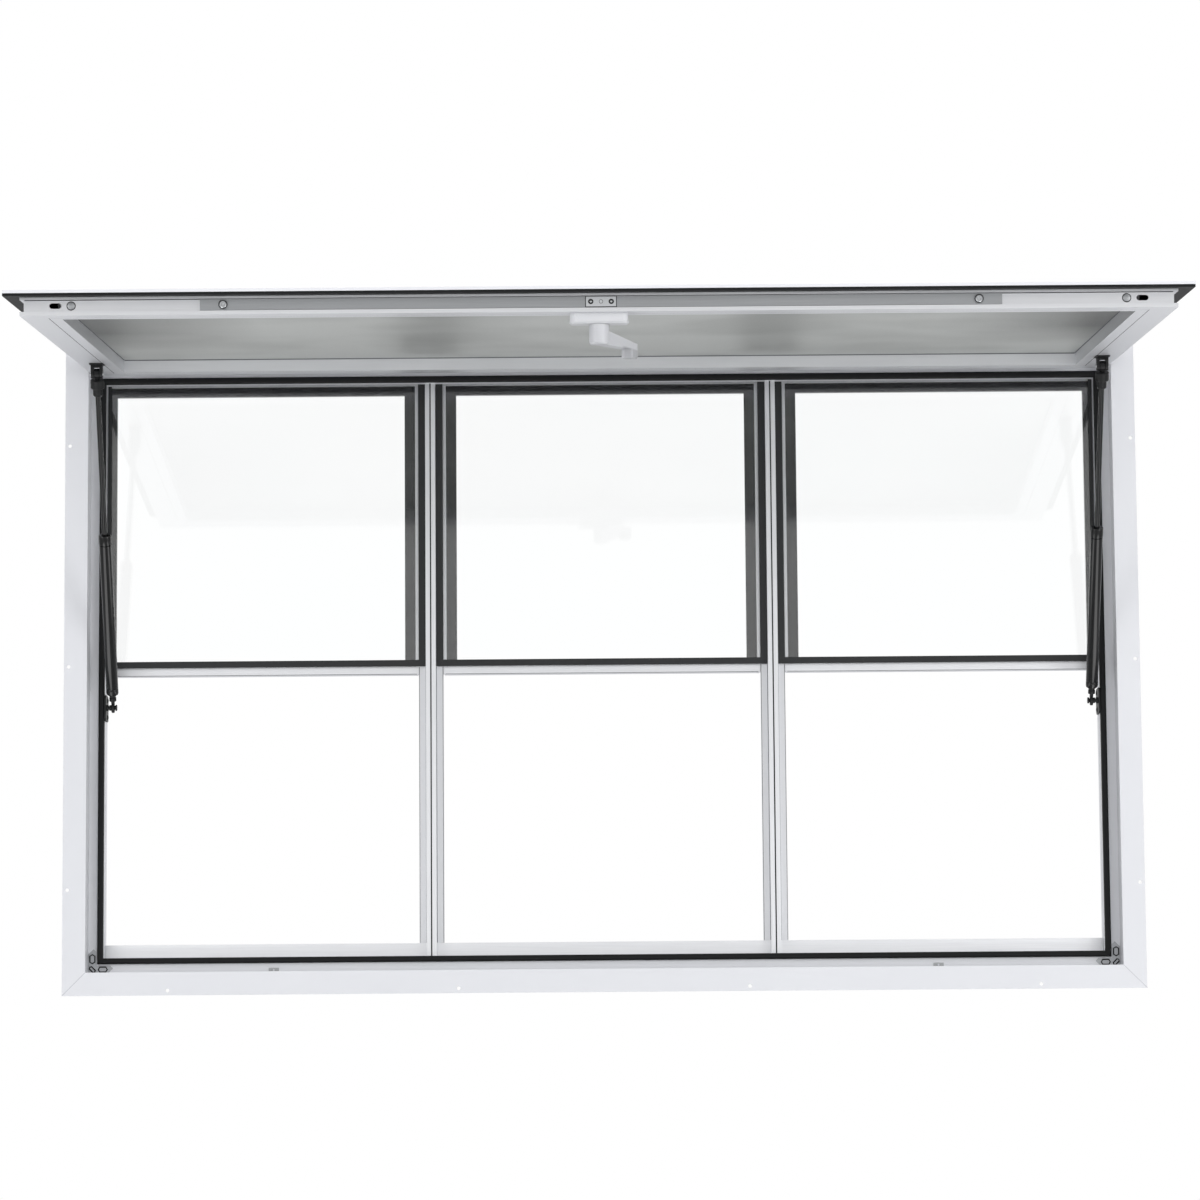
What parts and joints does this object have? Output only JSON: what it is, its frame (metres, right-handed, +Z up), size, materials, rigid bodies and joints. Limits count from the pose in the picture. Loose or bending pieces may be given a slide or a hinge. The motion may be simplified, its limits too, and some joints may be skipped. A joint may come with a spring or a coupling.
{
  "type": "concession window",
  "caption": "Flanged serving window with sash bays behind fixed upper panes and a top-hung awning hatch held up by gas struts, with a lever lock on its free edge.",
  "frame": {"origin": "back face of the sill flange, at the middle of its length and height", "axes": "+X to the right as seen from outside, +Y into the building, +Z up"},
  "size_m": [1.59, 1.0079, 0.9705],
  "materials": {
    "frame_white": "white powder coat",
    "track_aluminium": "satin anodised",
    "awning_aluminium": "satin silver",
    "awning_panel": "mill finish sheet",
    "gasket_black": "black rubber",
    "border_black": "black glazing border",
    "clear_glass": "clear",
    "bracket_zinc": "zinc plated",
    "lock_steel": "zinc plated",
    "handle_cast": "light grey paint",
    "strut_black": "black"
  },
  "bodies": {
    "frame": {"frame_sill": "frame_white", "frame_head": "frame_white", "frame_jamb_left": "frame_white", "frame_jamb_right": "frame_white", "frame_gasket": "gasket_black", "corner_brackets": "bracket_zinc", "sill_keepers": "bracket_zinc", "sill_rail": "track_aluminium", "mullion_left": "track_aluminium", "mullion_right": "track_aluminium", "fixed_pane_left": "clear_glass", "pane_border_left": "border_black", "sliding_sash_left": "track_aluminium", "sash_gasket_left": "border_black", "sash_glass_left": "clear_glass", "fixed_pane_centre": "clear_glass", "pane_border_centre": "border_black", "sliding_sash_centre": "track_aluminium", "sash_gasket_centre": "border_black", "sash_glass_centre": "clear_glass", "fixed_pane_right": "clear_glass", "pane_border_right": "border_black", "sliding_sash_right": "track_aluminium", "sash_gasket_right": "border_black", "sash_glass_right": "clear_glass", "hinge_receiver": "frame_white", "strut_bracket_left": "strut_black", "strut_bracket_right": "strut_black"},
    "awning": {"awning_free_rail": "awning_aluminium", "awning_hinge_rail": "awning_aluminium", "awning_stile_left": "awning_aluminium", "awning_stile_right": "awning_aluminium", "awning_panel": "awning_panel", "awning_skin": "frame_white", "awning_seal": "gasket_black", "handle_base": "handle_cast", "strut_mount_left": "strut_black", "strut_mount_right": "strut_black"},
    "handle": {"handle_lever": "handle_cast"},
    "lock": {"lock_rod": "lock_steel", "lock_plate": "lock_steel"},
    "strut_left_rod": {"strut_rod_left": "strut_black"},
    "strut_right_rod": {"strut_rod_right": "strut_black"},
    "strut_left_tube": {"strut_tube_left": "strut_black"},
    "strut_right_tube": {"strut_tube_right": "strut_black"}
  },
  "joints": [
    {"name": "awning_hinge", "type": "hinge", "parent": "frame", "child": "awning", "pos_m": [0, -0.012, 0.928], "axis": [1, 0, 0], "range_deg": [0, 85]},
    {"name": "handle_turn", "type": "hinge", "parent": "awning", "child": "handle", "pos_m": [0, -0.87221, 0.81259], "axis": [0, -0.0872, 0.9962], "range_deg": [0, 56]},
    {"name": "lock_slide", "type": "slide", "parent": "awning", "child": "lock", "axis": [1, 0, 0], "range_m": [0, 0.015]},
    {"name": "strut_left_swing", "type": "hinge", "parent": "awning", "child": "strut_left_rod", "pos_m": [-0.7255, -0.21568, 0.86953], "axis": [-1, 0, 0], "range_deg": [0, 112.53]},
    {"name": "strut_left_slide", "type": "slide", "parent": "strut_left_rod", "child": "strut_left_tube", "axis": [0, -0.4778, 0.8785], "range_m": [0, 0.21299]},
    {"name": "strut_right_swing", "type": "hinge", "parent": "awning", "child": "strut_right_rod", "pos_m": [0.7255, -0.21568, 0.86953], "axis": [-1, 0, 0], "range_deg": [0, 112.53]},
    {"name": "strut_right_slide", "type": "slide", "parent": "strut_right_rod", "child": "strut_right_tube", "axis": [0, -0.4778, 0.8785], "range_m": [0, 0.21299]}
  ],
  "couplings": [
    {"joint": "lock_slide", "follows": "handle_turn", "m_per_rad": 0.015345},
    {"joint": "strut_left_swing", "follows": "awning_hinge", "ratio": 1.3238},
    {"joint": "strut_left_slide", "follows": "awning_hinge", "m_per_rad": 0.14355},
    {"joint": "strut_right_swing", "follows": "awning_hinge", "ratio": 1.3238},
    {"joint": "strut_right_slide", "follows": "awning_hinge", "m_per_rad": 0.14355}
  ]
}
